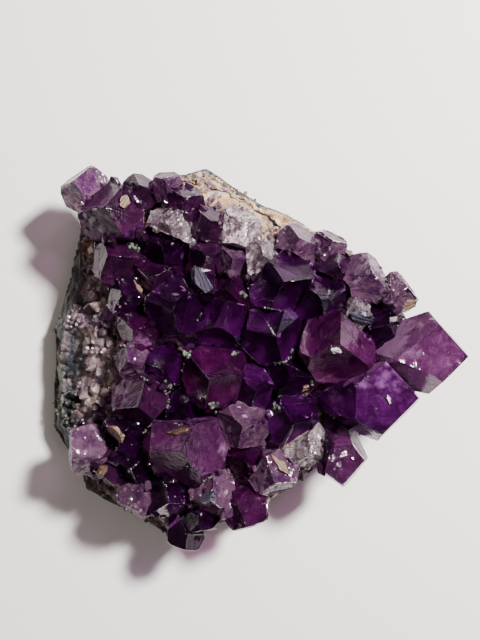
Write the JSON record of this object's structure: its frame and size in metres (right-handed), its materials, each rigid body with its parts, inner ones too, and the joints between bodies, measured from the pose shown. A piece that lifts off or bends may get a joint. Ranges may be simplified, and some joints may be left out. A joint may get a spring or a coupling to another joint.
{
  "type": "amethyst cluster",
  "caption": "Hand-size piece of geode wall with stubby purple amethyst points crowded over a quartz crust, an agate band and a thin dull rind.",
  "frame": {"origin": "middle of the bounding box's bottom, in the plane of the flat underside", "axes": "+Z out of the crystal bed, +X towards the two largest crystals, which reach out over the edge"},
  "size_m": [0.1122, 0.1032, 0.0418],
  "materials": {
    "amethyst_deep": "polished",
    "amethyst_wine": "polished",
    "amethyst_violet": "polished",
    "amethyst_lilac": "polished",
    "quartz_clear": "polished",
    "quartz_crust": "satin",
    "agate_band": "satin",
    "basalt_rind": "matte"
  },
  "bodies": {
    "root": {"crystal_north_west_pale": "amethyst_lilac", "crystal_north_west_large": "amethyst_violet", "crystal_north_west_rim": "amethyst_violet", "crystal_north_rim_small": "amethyst_lilac", "crystal_north_grey": "amethyst_violet", "crystal_north_clear": "quartz_clear", "crystal_north_violet": "amethyst_violet", "crystal_north_sparkling": "quartz_clear", "crystal_north_waisted": "amethyst_violet", "crystal_west_upper_round": "amethyst_violet", "crystal_core_black": "amethyst_deep", "crystal_core_wine": "amethyst_wine", "crystal_core_blade": "amethyst_deep", "crystal_core_north_small": "amethyst_lilac", "crystal_core_north_dark": "amethyst_wine", "crystal_core_north_pale": "quartz_clear", "crystal_core_shield": "amethyst_deep", "crystal_core_east_wedge": "amethyst_deep", "crystal_core_west_large": "amethyst_deep", "crystal_west_dark": "amethyst_deep", "crystal_core_middle": "amethyst_deep", "crystal_west_low": "amethyst_wine", "crystal_core_east_deep": "amethyst_deep", "crystal_core_small_west": "amethyst_deep", "crystal_west_knob": "amethyst_lilac", "crystal_core_red_heart": "amethyst_wine", "crystal_core_south_middle": "amethyst_deep", "crystal_core_south_east": "amethyst_deep", "crystal_north_east_mauve": "amethyst_lilac", "crystal_north_east_bud": "amethyst_violet", "crystal_north_east_outer": "amethyst_lilac", "crystal_east_lilac": "amethyst_lilac", "crystal_east_slab": "amethyst_lilac", "crystal_east_wine_large": "amethyst_wine", "crystal_east_ridge": "quartz_clear", "crystal_east_slice": "amethyst_deep", "crystal_east_giant": "amethyst_violet", "crystal_south_east_giant": "amethyst_deep", "crystal_south_east_spur": "amethyst_violet", "crystal_west_striped": "amethyst_violet", "crystal_south_west_blade": "amethyst_deep", "crystal_south_large": "amethyst_violet", "crystal_south_middle_pale": "amethyst_lilac", "crystal_south_east_dark": "amethyst_deep", "crystal_south_rusty": "amethyst_wine", "crystal_south_west_dark": "amethyst_deep", "crystal_south_west_pale": "amethyst_lilac", "crystal_south_west_small": "amethyst_violet", "crystal_south_west_middle": "amethyst_deep", "crystal_south_west_rim": "amethyst_lilac", "crystal_south_dark": "amethyst_deep", "crystal_south_sparkling": "amethyst_lilac", "crystal_south_wedge": "amethyst_deep", "crystal_south_tip": "amethyst_deep", "crystal_south_point": "amethyst_wine", "crystal_south_milky": "amethyst_lilac", "crystal_south_east_clear": "quartz_clear", "quartz_crust": "quartz_crust", "agate_band": "agate_band", "basalt_rind": "basalt_rind"}
  },
  "joints": []
}
